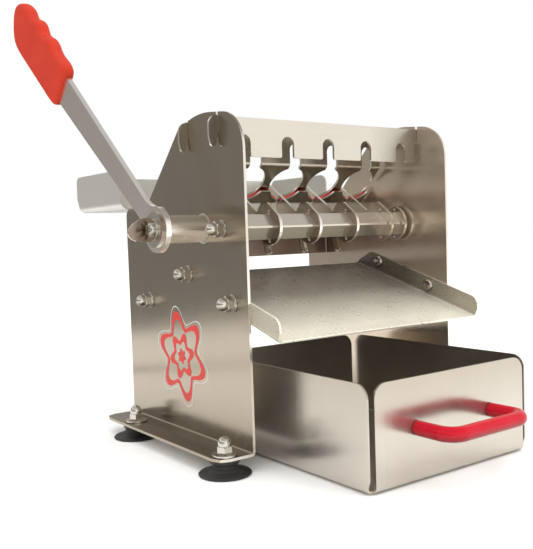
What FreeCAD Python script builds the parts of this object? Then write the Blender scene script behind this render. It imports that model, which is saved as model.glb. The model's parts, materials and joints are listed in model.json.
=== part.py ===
import FreeCAD, Part
import math
import os

from FreeCAD import Vector, Placement, Rotation

os.makedirs("parts", exist_ok=True)
doc = FreeCAD.newDocument("CherryPitter")

# ---------------------------------------------------------------------------
# Driving dimensions, millimetres and degrees.
# Design frame: X across the lanes, -Y towards the user (the drawer pulls out
# that way), +Z up, table at Z = 0.  Y = 0 is the rotor shaft's axis; the two
# shift cells move the finished assembly so its box is centred on the origin.
# ---------------------------------------------------------------------------
CELLS = [
    ("shift_x", 19.326), ("shift_y", -11.361),
    ("lane_pitch", 40.0), ("lane_count", 5), ("half_inner", 100.0), ("sheet_t", 2.0),
    ("thin_t", 1.5), ("axis_z", 169.0),
    ("front_y", -56.0), ("rear_y", 125.5), ("top_z", 252.0), ("shoulder_z", 188.0),
    ("flange_z", 10.5), ("flange_w", 28.0),
    ("comb_y", -24.8), ("lane_y", 17.0), ("comb_top_z", 248.3), ("slot_z", 236.5),
    ("tooth_z", 220.0), ("notch_top_z", 236.0), ("notch_w", 11.6), ("slot_w", 2.3),
    ("bend_z", 219.5), ("incline_deg", 44.0), ("incline_len", 38.0),
    ("ring_s", 19.0), ("ring_rad", 16.3), ("blade_slot_w", 8.0),
    ("tube_w", 15.0), ("tube_wall", 1.5), ("tube_half_len", 97.0),
    ("rotor_t", 2.5), ("hub_rad", 14.5), ("arm_low_deg", 20.0), ("pin_rad", 62.0), ("pin_w", 6.0), ("pin_web", 2.5),
    ("pin_tip_deg", -24.0), ("end_disc_rad", 14.8),
    ("sleeve_rad", 10.0), ("sleeve_end_x", 137.0), ("journal_rad", 6.0),
    ("lever_x", 139.0), ("lever_t", 4.0), ("lever_deg", 46.12), ("lean_deg", 7.5),
    ("lever_hub_rad", 16.5), ("lever_bend_u", 18.0),
    ("tray_half_w", 114.0), ("tray_front_y", 110.5), ("tray_rear_y", 206.0),
    ("tray_floor_z", 188.1), ("tray_top_z", 221.0),
    ("seat_y", 62.0), ("seat_z", 170.0), ("seat_bore_rad", 6.0),
    ("chute_front_y", -85.3), ("chute_front_z", 90.9), ("chute_rear_y", 50.5),
    ("chute_rear_z", 132.2), ("chute_wall", 16.0),
    ("guard_y", 97.0), ("guard_low_z", 143.0), ("guard_top_z", 178.0),
    ("drawer_half_w", 78.6), ("drawer_front_y", -147.4), ("drawer_rear_y", 36.5),
    ("drawer_low_z", 0.8), ("drawer_top_z", 69.4),
    ("handle_half", 36.6), ("handle_z", 36.2), ("handle_rad", 5.0), ("handle_out", 29.6),
    ("foot_x", 119.0), ("foot_front_y", -46.0), ("foot_rear_y", 88.0), ("cup_rad", 18.5),
    ("bolt_rad", 3.0), ("washer_rad", 6.5), ("washer_t", 1.2),
]
sheet = doc.addObject("Spreadsheet::Sheet", "Dims")
for i, (alias, value) in enumerate(CELLS, 1):
    sheet.set("A%d" % i, alias)
    sheet.set("B%d" % i, repr(value))
    sheet.setAlias("B%d" % i, alias)
doc.recompute()
D = {alias: float(getattr(sheet, alias)) for alias, _ in CELLS}

PARTS = []          # every exported sub-part, in order
AZ = D["axis_z"]
HALF = D["half_inner"]
T = D["sheet_t"]
LANES = [(-2 + k) * D["lane_pitch"] for k in range(5)]


# ------------------------------------------------------------ 2-D helpers --
def rounded(points):
    """Closed outline of (x, y[, r]) corners -> line and arc segments."""
    n = len(points)
    pts = [(p[0], p[1], p[2] if len(p) > 2 else 0.0) for p in points]
    cut = []
    for i in range(n):
        x, y, r = pts[i]
        ax, ay = pts[i - 1][0] - x, pts[i - 1][1] - y
        bx, by = pts[(i + 1) % n][0] - x, pts[(i + 1) % n][1] - y
        la, lb = math.hypot(ax, ay), math.hypot(bx, by)
        ax, ay, bx, by = ax / la, ay / la, bx / lb, by / lb
        phi = math.acos(max(-1, min(1, ax * bx + ay * by)))
        if r <= 0 or phi > math.pi - 1e-6:
            cut.append(((x, y), (x, y), None))
            continue
        d = r / math.tan(phi / 2)
        t1 = (x + ax * d, y + ay * d)
        t2 = (x + bx * d, y + by * d)
        mx, my = ax + bx, ay + by
        ml = math.hypot(mx, my)
        c = (x + mx / ml * r / math.sin(phi / 2), y + my / ml * r / math.sin(phi / 2))
        cut.append((t1, t2, (c, r)))
    segs = []
    for i in range(n):
        t1, t2, arc = cut[i]
        if arc:
            (cx, cy), r = arc
            a1 = math.atan2(t1[1] - cy, t1[0] - cx)
            a2 = math.atan2(t2[1] - cy, t2[0] - cx)
            cross = (t1[0] - cx) * (t2[1] - cy) - (t1[1] - cy) * (t2[0] - cx)
            if cross < 0:
                a1, a2 = a2, a1
            if a2 < a1:
                a2 += 2 * math.pi
            segs.append(("A", cx, cy, r, a1, a2))
        q = cut[(i + 1) % n][0]
        if math.hypot(q[0] - t2[0], q[1] - t2[1]) > 1e-6:
            segs.append(("L", t2[0], t2[1], q[0], q[1]))
    return segs


def circle(cx, cy, r, alias=None):
    return [("C", cx, cy, r, alias)]


def strip(mid, t):
    """Bent sheet section: centre line of (x, y[, bend radius]) -> outline."""
    n = len(mid)
    left, right = [], []
    for side, out in ((1, left), (-1, right)):
        for i in range(n):
            x, y = mid[i][0], mid[i][1]
            r = mid[i][2] if len(mid[i]) > 2 else 0.0
            if i == 0 or i == n - 1:
                j = 0 if i == 0 else n - 2
                dx, dy = mid[j + 1][0] - mid[j][0], mid[j + 1][1] - mid[j][1]
                l = math.hypot(dx, dy)
                out.append((x - side * dy / l * t / 2, y + side * dx / l * t / 2, 0.0))
                continue
            d1 = (mid[i][0] - mid[i - 1][0], mid[i][1] - mid[i - 1][1])
            d2 = (mid[i + 1][0] - mid[i][0], mid[i + 1][1] - mid[i][1])
            l1, l2 = math.hypot(*d1), math.hypot(*d2)
            n1 = (-d1[1] / l1, d1[0] / l1)
            n2 = (-d2[1] / l2, d2[0] / l2)
            k = 1 + n1[0] * n2[0] + n1[1] * n2[1]
            turn = d1[0] * d2[1] - d1[1] * d2[0]
            rr = 0.0
            if r > 0:
                rr = r - t / 2 if (turn > 0) == (side > 0) else r + t / 2
            out.append((x + side * t / 2 * (n1[0] + n2[0]) / k, y + side * t / 2 * (n1[1] + n2[1]) / k, rr))
    return rounded(left + right[::-1])


# ------------------------------------------------------- document helpers --
def put(obj, label, x="0", y="0", z="0", rot=None):
    obj.Label = label
    if rot is not None:
        obj.Placement = Placement(Vector(0, 0, 0), rot)
    obj.setExpression(".Placement.Base.x", "Dims.shift_x + (%s)" % x)
    obj.setExpression(".Placement.Base.y", "Dims.shift_y + (%s)" % y)
    obj.setExpression(".Placement.Base.z", "%s" % z)
    PARTS.append(obj)
    return obj


def new_body(name):
    return doc.addObject("PartDesign::Body", "B_" + name)


def origin_plane(body, role):
    for f in body.Origin.OriginFeatures:
        if f.Role == role:
            return f
    raise RuntimeError(role)


def add_sketch(body, role, wires, offset=None):
    s = body.newObject("Sketcher::SketchObject", body.Name + "_s%d" % len(body.Group))
    s.AttachmentSupport = [(origin_plane(body, role), "")]
    s.MapMode = "FlatFace"
    if offset is not None:
        s.AttachmentOffset = offset
    for wire in wires:
        for g in wire:
            if g[0] == "L":
                s.addGeometry(Part.LineSegment(Vector(g[1], g[2], 0), Vector(g[3], g[4], 0)), False)
            elif g[0] == "A":
                s.addGeometry(Part.ArcOfCircle(Part.Circle(Vector(g[1], g[2], 0), Vector(0, 0, 1), g[3]), g[4], g[5]), False)
            else:
                k = s.addGeometry(Part.Circle(Vector(g[1], g[2], 0), Vector(0, 0, 1), g[3]), False)
                if g[4]:
                    c = s.addConstraint(Sketcher.Constraint("Radius", k, g[3]))
                    s.setExpression("Constraints[%d]" % c, "Dims." + g[4])
    return s


import Sketcher

AXES = {"X": ("YZ_Plane", 1), "Y": ("XZ_Plane", -1), "Z": ("XY_Plane", 1)}


def prism(body, axis, wires, lo, hi, expr=None, cut=False, offset=None):
    """Pad or pocket of wires between lo and hi along a row axis."""
    role, sign = AXES[axis]
    base = lo if sign > 0 else -hi
    off = offset if offset is not None else Placement(Vector(0, 0, base), Rotation())
    s = add_sketch(body, role, wires, off)
    if cut:
        f = body.newObject("PartDesign::Pocket", body.Name + "_cut%d" % len(body.Group))
        f.Profile = s
        f.Type = 0
        f.Reversed = True
    else:
        f = body.newObject("PartDesign::Pad", body.Name + "_pad%d" % len(body.Group))
        f.Profile = s
        f.Type = 0
    f.Length = hi - lo
    if expr:
        f.setExpression("Length", expr)
    before = None
    if cut:
        before = f.BaseFeature.Shape.Volume if f.BaseFeature else None
    doc.recompute()
    if cut and before is not None and not f.Shape.Volume < before - 1e-3:
        raise RuntimeError("pocket removes nothing: " + f.Name)
    s.Visibility = False
    return f


def feature(name, shape, label, x="0", y="0", z="0", rot=None):
    o = doc.addObject("Part::Feature", "F_" + name)
    # a shape that carries its own location is wrapped, so the placement
    # written below does not replace it
    o.Shape = shape if shape.Placement.isIdentity() else Part.makeCompound([shape])
    return put(o, label, x, y, z, rot)


def revolve(profile, axis_dir=Vector(0, 0, 1), angle=360.0):
    """Solid of revolution about Z of (r, z) points."""
    pts = [Vector(r, 0, z) for r, z in profile]
    wire = Part.makePolygon(pts + [pts[0]])
    return Part.Face(wire).revolve(Vector(0, 0, 0), axis_dir, angle)


def ring_sector(x0, x1, r0, r1, a0, a1):
    """Block x0..x1, r0..r1 swept about X from angle a0 to a1 (deg, from +Y)."""
    pts = [Vector(x0, r0, 0), Vector(x1, r0, 0), Vector(x1, r1, 0), Vector(x0, r1, 0)]
    face = Part.Face(Part.makePolygon(pts + [pts[0]]))
    s = face.revolve(Vector(0, 0, 0), Vector(1, 0, 0), a1 - a0)
    s.rotate(Vector(0, 0, 0), Vector(1, 0, 0), a0)
    return s


# --------------------------------------------------------- fastener shapes --
def acorn_nut(af=10.0, hex_h=5.2, dome_r=4.6, height=11.8, bore=3.02):
    e = af / math.cos(math.radians(30)) / 2
    hexa = Part.Face(Part.makePolygon([Vector(e * math.cos(math.radians(60 * k)), e * math.sin(math.radians(60 * k)), 0) for k in range(7)])).extrude(Vector(0, 0, hex_h))
    tops = revolve([(0, 0), (af / 2 + 0.25, 0), (e + 0.2, 0.45), (e + 0.2, hex_h - 0.6), (af / 2, hex_h), (0, hex_h)])
    body = hexa.common(tops)
    straight = height - dome_r
    dome = Part.makeCylinder(dome_r, straight - hex_h + 0.4, Vector(0, 0, hex_h - 0.4)).fuse(Part.makeSphere(dome_r, Vector(0, 0, straight)))
    nut = body.fuse(dome).removeSplitter()
    hole = Part.makeCylinder(bore, 8.2).fuse(Part.makeCone(bore, 0, bore * 0.6, Vector(0, 0, 8.2)))
    hole = hole.fuse(Part.makeCone(bore + 0.5, bore, 0.5))
    return nut.cut(hole)


def pan_screw(head_r=5.8, head_h=3.8, shank_r=3.0, length=14.0, recess=2.0):
    """Head above Z = 0, shank below; cross recess in the head."""
    a = head_r
    prof = [(0, 0), (a - 0.2, 0), (a, 0.3), (a, head_h * 0.45), (a * 0.93, head_h * 0.68), (a * 0.78, head_h * 0.86), (a * 0.5, head_h * 0.97), (0, head_h)]
    s = revolve(prof).fuse(Part.makeCylinder(shank_r, length - 0.5, Vector(0, 0, -length + 0.5)))
    s = s.fuse(Part.makeCone(shank_r - 0.5, shank_r, 0.5, Vector(0, 0, -length))).removeSplitter()
    w = head_r * 0.2
    l = head_r * 0.55
    for ang in (0, 90):
        b = Part.makeBox(2 * l, w, recess + 1, Vector(-l, -w / 2, head_h - recess))
        b.rotate(Vector(0, 0, 0), Vector(0, 0, 1), ang)
        s = s.cut(b)
    return s


def washer(r_out, r_in, t):
    c = 0.2
    return revolve([(r_in, 0), (r_out - c, 0), (r_out, c), (r_out, t - c), (r_out - c, t), (r_in, t)])


def face_x(shape, x, y, z, sign):
    """Turn a shape made along +Z to point along sign*X and move it."""
    s = shape.copy()
    s.rotate(Vector(0, 0, 0), Vector(0, 1, 0), 90 * sign)
    s.translate(Vector(x, y, z))
    return s


# ------------------------------------------------------------- side plates --
OUT = HALF + T
BR = 3.0                                     # outer radius of the flange bend


def side_outline():
    fy, ry, tz, sz = D["front_y"], D["rear_y"], D["top_z"], D["shoulder_z"]
    z0 = D["flange_z"] + BR
    # shallow crown, large front corner, 45 degree slope down to the shoulder
    return rounded([(fy, z0), (fy, tz - 4.5, 28.0), (-2.4, tz + 1.4, 80.0), (29.0, tz - 5.2, 4.0), (88.0, sz, 3.0), (ry, sz, 6.0), (ry, z0)])


HOLES = {"chute_a": (22.9, 134.9), "chute_b": (-36.6, 115.4), "keeper": (-26.0, 168.0), "brace": (87.0, 111.8)}


def side_plate(label, sign):
    b = new_body(label)
    lo, hi = (HALF, OUT) if sign > 0 else (-OUT, -HALF)
    prism(b, "X", [side_outline()], lo, hi, "Dims.sheet_t")
    # bottom flange bent outwards, with rounded outer corners
    f0, w = D["flange_z"], D["flange_w"]
    sec = [(sign * (OUT - T / 2), f0 + BR), (sign * (OUT - T / 2), f0 + T / 2, BR - T / 2), (sign * (OUT + w), f0 + T / 2)]
    prism(b, "Y", [strip(sec, T)], D["front_y"], D["rear_y"], "Dims.rear_y - Dims.front_y")
    # corner rounding of the flange: the outside of an 8 mm radius is cut off
    xo = sign * (OUT + w)
    for yc, sy in ((D["front_y"], 1), (D["rear_y"], -1)):
        r = 9.0
        tri = rounded([(xo + sign, yc - sy), (xo + sign, yc + sy * r), (xo, yc + sy * r), (xo - sign * r * 0.29, yc + sy * r * 0.29), (xo - sign * r, yc), (xo - sign * r, yc - sy)])
        prism(b, "Z", [tri], f0 - 1, f0 + T + 1, cut=True)
    # open-topped slots for the comb and the lane plate
    for yc in (D["comb_y"], D["lane_y"]):
        h = D["slot_w"] / 2
        prism(b, "X", [rounded([(yc - h, D["slot_z"]), (yc + h, D["slot_z"]), (yc + h, D["top_z"] + 5), (yc - h, D["top_z"] + 5)])], lo - 1, hi + 1, cut=True)
    bore = 11.3 if sign < 0 else 8.0
    wires = [circle(0, AZ, bore)]
    for key in ("chute_a", "chute_b", "keeper", "brace"):
        if key == "keeper" and sign > 0:
            continue
        y, z = HOLES[key]
        wires.append(circle(y, z, 3.2))
    prism(b, "X", wires, lo - 1, hi + 1, cut=True)
    feet = [circle(sign * D["foot_x"], D["foot_front_y"], 3.2), circle(sign * D["foot_x"], D["foot_rear_y"], 3.2)]
    prism(b, "Z", feet, f0 - 1, f0 + T + 1, cut=True)
    return put(b, label)


side_plate("side_plate_left", -1)
side_plate("side_plate_right", 1)


# -------------------------------------------------- comb and lane plate ----
def hook_top(low_z, teeth=None):
    """Upper plate outline: hooks outside both side plates."""
    top, sl = D["comb_top_z"], D["slot_z"] + 0.3
    hx0, hx1, hz = OUT + 0.35, OUT + 7.6, 226.4
    right = [(96.0, low_z, 1.2), (96.0, sl, 1.0), (hx0, sl, 0.6), (hx0 + 1.9, hz, 2.2), (hx1 - 1.6, hz, 2.4), (hx1, hz + 7.0, 6.0), (hx1, top, 6.8)]
    left = [(-x, z, r) for x, z, r in right[::-1]]
    return right, left


def comb_outline():
    right, left = hook_top(D["tooth_z"])
    w = D["notch_w"] / 2
    pts = []
    for x in LANES:
        pts += [(x - w, D["tooth_z"], 1.5), (x - w, D["notch_top_z"], w - 0.01), (x + w, D["notch_top_z"], w - 0.01), (x + w, D["tooth_z"], 1.5)]
    return rounded(left + pts + right)


b = new_body("front_comb")
prism(b, "Y", [comb_outline()], D["comb_y"] - T / 2, D["comb_y"] + T / 2, "Dims.sheet_t")
put(b, "front_comb")

INC = math.radians(D["incline_deg"])
DY, DZ = math.cos(INC), -math.sin(INC)       # down the incline
NY, NZ = math.sin(INC), math.cos(INC)        # its upper/rear normal


def on_incline(s, n=0.0):
    return (D["lane_y"] + s * DY + n * NY, D["bend_z"] + s * DZ + n * NZ)


def incline_frame():
    """Sketch placement whose x is X, y runs up the incline, normal forward/down."""
    m = FreeCAD.Matrix(1, 0, 0, 0, 0, -DY, -NY, D["lane_y"], 0, -DZ, -NZ, D["bend_z"], 0, 0, 0, 1)
    return Placement(m)


def ring_cut(body, n_lo, n_hi, with_slot=True):
    """Keyholes through everything between two offsets below the incline."""
    base = origin_plane(body, "XY_Plane")
    pl = incline_frame()
    pl = Placement(pl.multVec(Vector(0, 0, n_lo)), pl.Rotation)
    w, h = D["notch_w"] / 2, D["blade_slot_w"] / 2
    circ = [circle(x, -D["ring_s"], D["ring_rad"], "ring_rad") for x in LANES]
    slots = [rounded([(x - h, -D["incline_len"] - 14), (x + h, -D["incline_len"] - 14), (x + h, -D["ring_s"]), (x - h, -D["ring_s"])]) for x in LANES]
    necks = [rounded([(x - w, -D["ring_s"]), (x + w, -D["ring_s"]), (x + w, 4), (x - w, 4)]) for x in LANES]
    for wires in (circ, slots, necks):
        for wire in wires:
            s = add_sketch(body, "XY_Plane", [wire], pl)
            f = body.newObject("PartDesign::Pocket", body.Name + "_cut%d" % len(body.Group))
            f.Profile = s
            f.Type = 0
            f.Reversed = True
            f.Length = n_hi - n_lo
            doc.recompute()


b = new_body("lane_plate")
right, left = hook_top(222.0)
prism(b, "Y", [rounded(left[:-1] + [(-96.0, 222.5), (96.0, 222.5)] + right[1:])], D["lane_y"] - T / 2, D["lane_y"] + T / 2, "Dims.sheet_t")
p1 = on_incline(D["incline_len"])
prism(b, "X", [strip([(D["lane_y"], 223.5), (D["lane_y"], D["bend_z"], 2.5), p1], T)], -96.0, 96.0)
w = D["notch_w"] / 2
notches = [rounded([(x - w, D["bend_z"] - 3), (x + w, D["bend_z"] - 3), (x + w, 237.0, w - 0.01), (x - w, 237.0, w - 0.01)]) for x in LANES]
prism(b, "Y", notches, D["lane_y"] - 4, D["lane_y"] + 4, cut=True)
ring_cut(b, -6.0, 6.0)
put(b, "lane_plate")


def lip_pieces(n_top, n_low, s0, s1):
    """Strip segments between lanes under the incline, cut round the rings."""
    segs = []
    blk = []
    xs = [-95.5] + LANES + [95.5]
    q = [on_incline(s0, n_top), on_incline(s1, n_top), on_incline(s1, n_low), on_incline(s0, n_low)]
    prof = Part.Face(Part.makePolygon([Vector(-95.5, y, z) for y, z in q + [q[0]]])).extrude(Vector(191, 0, 0))
    for x in LANES:
        c0 = on_incline(D["ring_s"], n_low - 3)
        cyl = Part.makeCylinder(D["ring_rad"], abs(n_top - n_low) + 8, Vector(x, c0[0], c0[1]), Vector(0, NY, NZ))
        h = D["blade_slot_w"] / 2
        a = [on_incline(D["ring_s"], n_low - 3), on_incline(s1 + 4, n_low - 3), on_incline(s1 + 4, n_top + 3), on_incline(D["ring_s"], n_top + 3)]
        box = Part.Face(Part.makePolygon([Vector(x - h, y, z) for y, z in a + [a[0]]])).extrude(Vector(2 * h, 0, 0))
        prof = prof.cut(cyl).cut(box)
    solids = [s for s in prof.Solids if s.Volume > 20]
    return Part.makeCompound(solids)


feature("seat_lip_rubber", lip_pieces(-T / 2 - 0.02, -T / 2 - 2.4, 28.2, 38.0), "seat_lip_rubber")
feature("seat_lip_clamp", lip_pieces(-T / 2 - 2.42, -T / 2 - 3.9, 25.4, 38.0), "seat_lip_clamp")

# ------------------------------------------------------------ hopper tray --
TT = D["thin_t"]
b = new_body("hopper_tray")
fz = D["tray_floor_z"] + TT / 2
seat = [(45.8, 193.0), (45.8, D["seat_z"], 3.0), (77.0, D["seat_z"], 6.0), (107.0, fz, 6.0), (D["tray_rear_y"] - 8.0, fz)]
prism(b, "X", [strip(seat, TT)], -99.6, 99.6)
hw, fy, ry = D["tray_half_w"], D["tray_front_y"], D["tray_rear_y"]
bend = 6.5
prism(b, "Z", [rounded([(-hw + bend, fy + 0.5), (hw - bend, fy + 0.5), (hw - bend, ry - bend), (-hw + bend, ry - bend)])], D["tray_floor_z"], D["tray_floor_z"] + TT, "Dims.thin_t")
for sg in (-1, 1):
    sec = [(sg * (hw - bend - 0.5), fz), (sg * (hw - TT / 2), fz, bend - TT / 2), (sg * (hw - TT / 2), fz + bend)]
    prism(b, "Y", [strip(sec, TT)], fy, ry - bend)
    wall = rounded([(fy, fz + bend - 0.5), (ry - bend, fz + bend - 0.5), (ry - bend + 3.2, fz + bend + 5, 3), (ry - bend + 3.2, D["tray_top_z"], 6.0), (fy, D["tray_top_z"], 9.0)])
    lo, hi = (hw - TT, hw) if sg > 0 else (-hw, -hw + TT)
    prism(b, "X", [wall], lo, hi, "Dims.thin_t")
sec = [(ry - bend - 0.5, fz), (ry - TT / 2, fz, bend - TT / 2), (ry - TT / 2, fz + bend)]
prism(b, "X", [strip(sec, TT)], -hw + bend, hw - bend)
wall = rounded([(-hw + bend, fz + bend - 0.5), (hw - bend, fz + bend - 0.5), (hw - bend + 3.2, fz + bend + 5, 3), (hw - bend + 3.2, D["tray_top_z"], 6.0), (-hw + bend - 3.2, D["tray_top_z"], 6.0), (-hw + bend - 3.2, fz + bend + 5, 3)])
prism(b, "Y", [wall], ry - TT, ry, "Dims.thin_t")
# slots for the rotor blades in the trough's front wall, and the seat holes
h = D["blade_slot_w"] / 2
prism(b, "Y", [rounded([(x - h, 178.5, 2.9), (x + h, 178.5, 2.9), (x + h, 196.0), (x - h, 196.0)]) for x in LANES], 44.0, 49.0, cut=True)
prism(b, "Z", [circle(x, D["seat_y"], 11.5) for x in LANES], D["seat_z"] - 3, D["seat_z"] + 3, cut=True)
put(b, "hopper_tray")

# rubber seats, one per lane: grooved ring with a dished top
zb = D["seat_z"] - TT / 2
for k, x in enumerate(LANES, 1):
    r0 = D["seat_bore_rad"]
    prof = [(r0, -4.0), (12.8, -4.0), (13.2, -3.4), (13.2, -0.03), (11.45, -0.03), (11.45, TT + 0.03), (13.3, TT + 0.03), (13.3, TT + 1.6), (12.9, TT + 2.4), (9.0, TT + 0.9), (r0 + 0.4, TT - 0.6), (r0, TT - 1.2)]
    feature("cherry_seat_%d" % k, revolve(prof), "cherry_seat_%d" % k, "%g * Dims.lane_pitch" % (k - 3), "Dims.seat_y", "Dims.seat_z - Dims.thin_t / 2")

# ------------------------------------------------------------------ chute --
b = new_body("discharge_chute")
cy0, cz0, cy1, cz1 = D["chute_front_y"], D["chute_front_z"], D["chute_rear_y"], D["chute_rear_z"]
ang = math.atan2(cz1 - cz0, cy1 - cy0)
length = math.hypot(cz1 - cz0, cy1 - cy0)
uy, uz = math.cos(ang), math.sin(ang)
WALL_X = HALF - 0.05


def chute_pt(s, n):
    return (cy0 + s * uy - n * uz, cz0 + s * uz + n * uy)


# floor, the two bends and the side walls; the wall ends are rounded in front
prism(b, "X", [rounded([chute_pt(0, 0) + (0.5,), chute_pt(length, 0), chute_pt(length, TT), chute_pt(0, TT) + (0.5,)])], -WALL_X + 3.5, WALL_X - 3.5)
mid_pl = Placement(FreeCAD.Matrix(1, 0, 0, 0, 0, 0, uy, cy0, 0, 0, uz, cz0, 0, 0, 0, 1))
mm = FreeCAD.Matrix(1, 0, 0, 0, 0, -uz, -uy, cy0 + length * uy, 0, uy, -uz, cz0 + length * uz, 0, 0, 0, 1)
chute_pl = Placement(mm)                      # x = X, y = up from the floor, normal down the slope
for sg in (-1, 1):
    sec = [(sg * (WALL_X - 4.0), TT / 2), (sg * (WALL_X - TT / 2), TT / 2, 3.2), (sg * (WALL_X - TT / 2), 4.6)]
    prism(b, "Z", [strip(sec, TT)], 0, length, offset=chute_pl)
    q = [chute_pt(0.0, 4.0) + (0.5,), chute_pt(-2.6, D["chute_wall"]) + (9.0,), chute_pt(length - 13, D["chute_wall"]) + (4.0,), chute_pt(length, 4.0) + (0.5,)]
    lo, hi = (WALL_X - TT, WALL_X) if sg > 0 else (-WALL_X, -WALL_X + TT)
    prism(b, "X", [rounded(q)], lo, hi, "Dims.thin_t")
for sg in (-1, 1):
    lo, hi = (WALL_X - TT - 1, WALL_X + 1) if sg > 0 else (-WALL_X - 1, -WALL_X + TT + 1)
    prism(b, "X", [circle(HOLES[q][0], HOLES[q][1], 3.2) for q in ("chute_a", "chute_b")], lo, hi, cut=True)
put(b, "discharge_chute")

# ------------------------------------------------------ rear guard, brace --
b = new_body("pit_guard")
gy, g0, g1 = D["guard_y"], D["guard_low_z"], D["guard_top_z"]
sec = [(-HALF + 0.05 + TT / 2, gy - 4.5), (-HALF + 0.05 + TT / 2, gy - TT / 2, 2.5), (HALF - 0.05 - TT / 2, gy - TT / 2, 2.5), (HALF - 0.05 - TT / 2, gy - 4.5)]
prism(b, "Z", [strip(sec, TT)], g0, g1, "Dims.guard_top_z - Dims.guard_low_z")
for sg in (-1, 1):
    lo, hi = (HALF - 0.05 - TT, HALF - 0.05) if sg > 0 else (-HALF + 0.05, -HALF + 0.05 + TT)
    prism(b, "X", [rounded([(gy - 19.0, 165.0, 3.0), (gy - 19.0, g0 + 0.5, 6.0), (gy - 3.6, g0 + 0.5), (gy - 3.6, g1 - 3.5)])], lo, hi, "Dims.thin_t")
put(b, "pit_guard")

by, bz = HOLES["brace"]
b = new_body("brace_tube")
prism(b, "X", [circle(by, bz, 5.0), circle(by, bz, 3.1)], -HALF + 0.02, HALF - 0.02)
put(b, "brace_tube")
b = new_body("brace_rod")
prism(b, "X", [circle(by, bz, 3.0, "bolt_rad")], -HALF - 9.5, HALF + 9.5)
put(b, "brace_rod")

# -------------------------------------------------------------- fasteners --
nut, nut_w = acorn_nut(), washer(D["washer_rad"], 3.1, D["washer_t"])
WT = D["washer_t"]


def group(label, shapes):
    feature(label, Part.makeCompound(shapes), label)


ch = [HOLES["chute_a"], HOLES["chute_b"]]
inner = WALL_X - TT
scr = pan_screw(head_r=5.0, head_h=3.0, length=13.0)
group("chute_screws", [face_x(scr, sg * inner, y, z, -sg) for sg in (-1, 1) for y, z in ch])
group("chute_washers", [face_x(nut_w, sg * OUT, y, z, sg) for sg in (-1, 1) for y, z in ch])
group("chute_acorn_nuts", [face_x(nut, sg * (OUT + WT), y, z, sg) for sg in (-1, 1) for y, z in ch])
group("brace_washers", [face_x(nut_w, sg * OUT, by, bz, sg) for sg in (-1, 1)])
group("brace_acorn_nuts", [face_x(nut, sg * (OUT + WT), by, bz, sg) for sg in (-1, 1)])
ky, kz = HOLES["keeper"]
group("keeper_screw", [face_x(pan_screw(length=11.2), -HALF, ky, kz, 1)])
group("keeper_washer", [face_x(nut_w, -OUT, ky, kz, -1)])
group("keeper_acorn_nut", [face_x(nut, -(OUT + WT), ky, kz, -1)])

# ------------------------------------------------------------------- feet --
FEET = [(sx * D["foot_x"], y) for sx in (-1, 1) for y in (D["foot_front_y"], D["foot_rear_y"])]
fz0 = D["flange_z"]
R = D["cup_rad"]
cup_prof = [(3.05, fz0 - 0.02), (10.2, fz0 - 0.02), (10.6, fz0 - 0.6), (10.2, fz0 - 2.4), (8.6, fz0 - 3.4), (9.4, 5.4), (12.4, 3.4), (R - 0.8, 1.5), (R, 0.7), (R - 0.3, 0.0), (R - 2.2, 0.0), (11.0, 2.0), (6.0, 2.6), (0, 2.8), (0, 4.0), (3.05, 4.0)]
cup = revolve(cup_prof)
for k, (fx, fyy) in enumerate(FEET, 1):
    name = "suction_cup_%s" % ("front_left", "rear_left", "front_right", "rear_right")[k - 1]
    feature(name, cup, name, "%g * Dims.foot_x" % (-1 if fx < 0 else 1), "Dims.foot_front_y" if k % 2 else "Dims.foot_rear_y")
ft = fz0 + T
stud = Part.makeCylinder(3.0, ft + 8.0 - 4.02, Vector(0, 0, 4.02))
foot_w = washer(9.0, 3.1, 1.6)


def at(shape, x, y, z):
    s = shape.copy()
    s.translate(Vector(x, y, z))
    return s


group("foot_studs", [at(stud, x, y, 0) for x, y in FEET])
group("foot_washers", [at(foot_w, x, y, ft) for x, y in FEET])
group("foot_acorn_nuts", [at(nut, x, y, ft + 1.6) for x, y in FEET])


# ------------------------------------------------------------------ rotor --
def square(half_diag, r=0.0):
    return rounded([(half_diag, 0, r), (0, half_diag, r), (-half_diag, 0, r), (0, -half_diag, r)])


RX = "0"
b = new_body("rotor_shaft")
hd = D["tube_w"] / math.sqrt(2)
hi_ = (D["tube_w"] - 2 * D["tube_wall"]) / math.sqrt(2)
prism(b, "X", [square(hd, 1.6), square(hi_, 0.6)], -D["tube_half_len"], D["tube_half_len"], "2 * Dims.tube_half_len")
put(b, "rotor_shaft", z="Dims.axis_z")


def square_hole(body, lo, hi):
    prism(body, "X", [square(hd + 0.03)], lo, hi, cut=True)
    prism(body, "X", [circle(c * 9.75, s * 9.75, 1.35) for c, s in ((1, 0), (-1, 0), (0, 1), (0, -1))], lo, hi, cut=True)


def polar(r, a):
    return (r * math.cos(math.radians(a)), r * math.sin(math.radians(a)))


def rotor_outline_smooth():
    """Round hub in front and below, hump on top, V-notch, radial blade."""
    hr = D["hub_rad"]
    a0, a1 = math.radians(141.0), math.radians(340.0)
    start = (hr * math.cos(a0), hr * math.sin(a0))
    end = (hr * math.cos(a1), hr * math.sin(a1))
    low = [end, (60.2, 21.2, 2.0), (64.0, 24.4, 3.5), (62.4, 30.4, 4.0), (54.2, 37.2, 2.2), (16.2, 12.2, 0.7)]
    top = [(12.2, 16.6, 1.8), (9.6, 19.3, 1.8), (2.0, 19.1, 6.0), start]
    segs = rounded(low + top)
    # the straight closing side from start to end is replaced by the hub's arc
    out = []
    for g in segs:
        if g[0] == "L":
            same = math.hypot(g[1] - start[0], g[2] - start[1]) < 1e-6 and math.hypot(g[3] - end[0], g[4] - end[1]) < 1e-6
            if same:
                out.append(("A", 0.0, 0.0, hr, a0, a1))
                continue
        out.append(g)
    return out


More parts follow.
